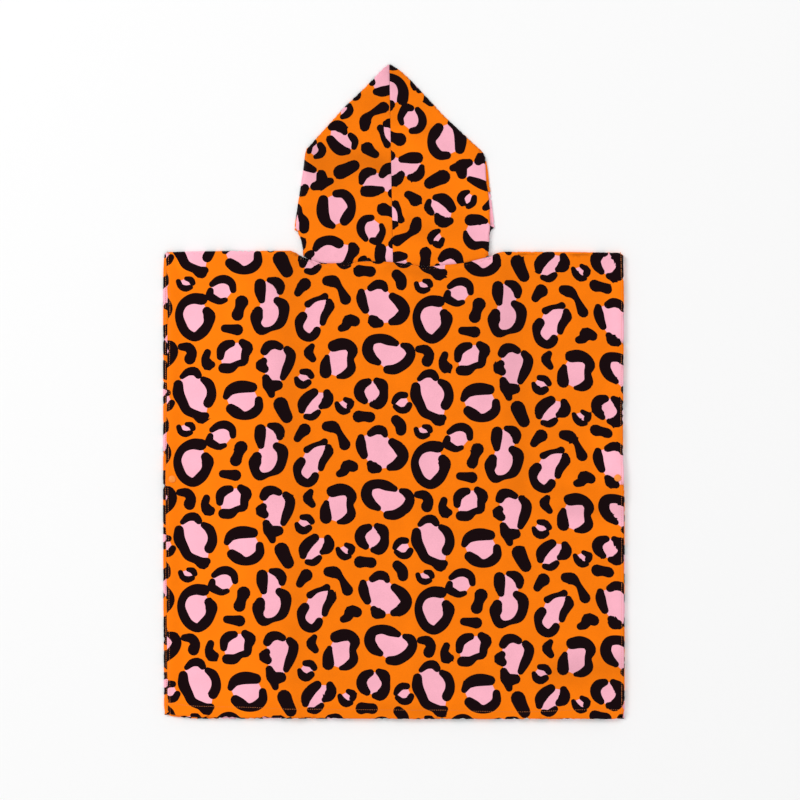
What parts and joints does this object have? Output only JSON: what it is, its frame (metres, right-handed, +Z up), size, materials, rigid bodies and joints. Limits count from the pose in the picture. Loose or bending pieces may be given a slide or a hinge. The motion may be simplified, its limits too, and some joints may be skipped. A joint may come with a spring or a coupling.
{
  "type": "hooded bath poncho",
  "caption": "Child's hooded bath poncho in printed towelling, laid flat: one cloth folded at the shoulders, a pointed hood at the neck and a popper at each side.",
  "frame": {"origin": "on the surface it lies on, under the middle of its length and width", "axes": "+X across the body to the right as seen from above with the hood away, +Y from the bottom hem to the hood's tip, +Z up from the surface"},
  "size_m": [0.65, 0.921, 0.0109],
  "materials": {
    "towelling": "cotton velour towelling with an orange, pink and black leopard print, matt and soft",
    "popper_plastic": "moulded orange plastic, glossy"
  },
  "bodies": {
    "root": {"body": "towelling", "hood_left": "towelling", "hood_right": "towelling", "popper_left_stud": "popper_plastic", "popper_left_socket": "popper_plastic", "popper_right_stud": "popper_plastic", "popper_right_socket": "popper_plastic"}
  },
  "joints": []
}
